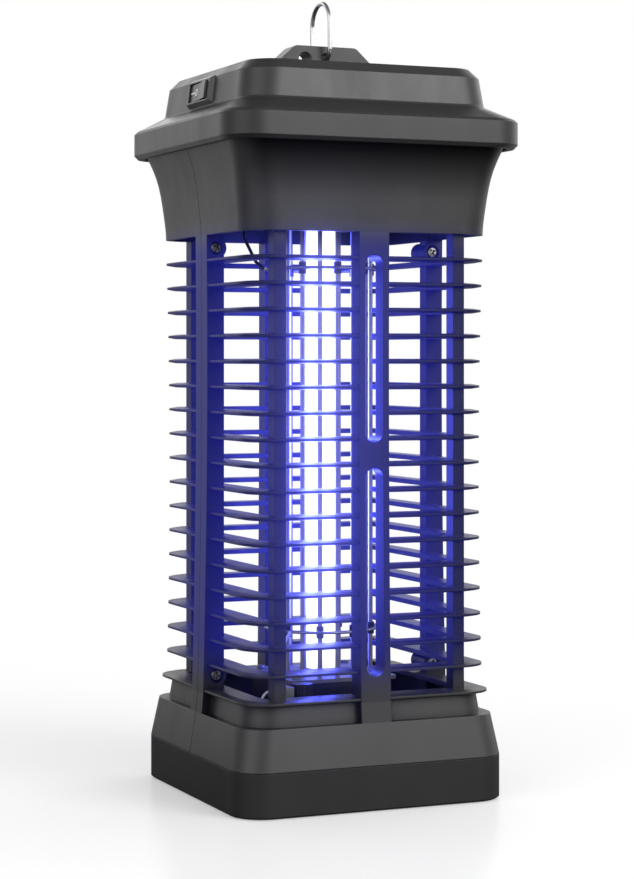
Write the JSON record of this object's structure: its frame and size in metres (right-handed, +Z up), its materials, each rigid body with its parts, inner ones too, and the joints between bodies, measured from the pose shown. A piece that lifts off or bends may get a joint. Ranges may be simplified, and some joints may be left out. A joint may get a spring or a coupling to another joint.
{
  "type": "electric bug zapper",
  "caption": "Hanging electric insect killer: square finned lantern housing, round high-voltage wire cage round a UV tube, rocker switch on the cap, hanging ring and drop-out catch tray.",
  "frame": {"origin": "on the floor under the centre of the housing, level with the undersides of the feet", "axes": "+Z up; -Y is the front; -X is the side with the rocker switch; +Y is the back with the mains inlet"},
  "size_m": [0.1316, 0.1316, 0.3355],
  "materials": {
    "charcoal_plastic": "fine satin grain",
    "black_plastic": "matte",
    "grid_wire": "drawn wire",
    "bead_ceramic": "glazed dark",
    "white_insulator": "gloss",
    "lamp_glass": "phosphor coated, lit",
    "lamp_aluminium": "satin",
    "brass": "satin",
    "ring_chrome": "polished",
    "foot_rubber": "matte",
    "switch_black": "satin",
    "board_laminate": "solder mask",
    "ferrite": "matte",
    "copper_winding": "enamelled copper wire",
    "capacitor_film": "dipped",
    "capacitor_sleeve": "shrink sleeve",
    "terminal_green": "gloss",
    "terminal_steel": "brushed",
    "zinc_steel": "zinc plated",
    "lead_white": "satin",
    "lead_red": "satin"
  },
  "bodies": {
    "housing": {"front_shell": "charcoal_plastic", "rear_shell": "charcoal_plastic", "top_cover": "charcoal_plastic", "upper_deck": "black_plastic", "lower_deck": "black_plastic", "base_box": "black_plastic", "ribbed_insulator": "black_plastic", "high_voltage_grid": "grid_wire", "return_grid": "grid_wire", "grid_beads": "bead_ceramic", "upper_insulator": "white_insulator", "lower_insulator": "white_insulator", "lamp_tube": "lamp_glass", "lamp_caps": "lamp_aluminium", "lamp_pins": "brass", "lower_lamp_holder": "white_insulator", "upper_lamp_holder": "white_insulator", "switch_housing": "switch_black", "switch_terminals": "brass", "mains_inlet": "switch_black", "inlet_pins": "brass", "circuit_board": "board_laminate", "transformer_core": "ferrite", "transformer_coil": "copper_winding", "high_voltage_capacitors": "capacitor_film", "filter_capacitor": "capacitor_sleeve", "rectifier_diodes": "ferrite", "board_terminals": "terminal_green", "grid_terminal": "terminal_steel", "case_screws": "zinc_steel", "deck_screws": "zinc_steel", "cover_screws": "zinc_steel", "insulator_screws": "zinc_steel", "board_screws": "zinc_steel", "lead_sleeve": "lead_white", "lower_lamp_leads": "lead_white", "upper_lamp_leads": "lead_white", "high_voltage_lead": "lead_red", "return_lead": "lead_white", "earth_lead": "lead_white", "power_leads": "lead_white"},
    "ring": {"hanging_ring": "ring_chrome"},
    "tray": {"catch_tray": "charcoal_plastic", "rubber_feet": "foot_rubber"},
    "rocker": {"switch_rocker": "switch_black"}
  },
  "joints": [
    {"name": "ring_swing", "type": "hinge", "parent": "housing", "child": "ring", "pos_m": [0, 0, 0.3109], "axis": [0, 1, 0], "range_deg": [-90, 90]},
    {"name": "rocker_press", "type": "hinge", "parent": "housing", "child": "rocker", "pos_m": [-0.05468, 0, 0.29428], "axis": [0.1293, 0, 0.9916], "range_deg": [0, 10]},
    {"name": "tray_drop", "type": "slide", "parent": "housing", "child": "tray", "axis": [0, 0, -1], "range_m": [0, 0.03]}
  ]
}
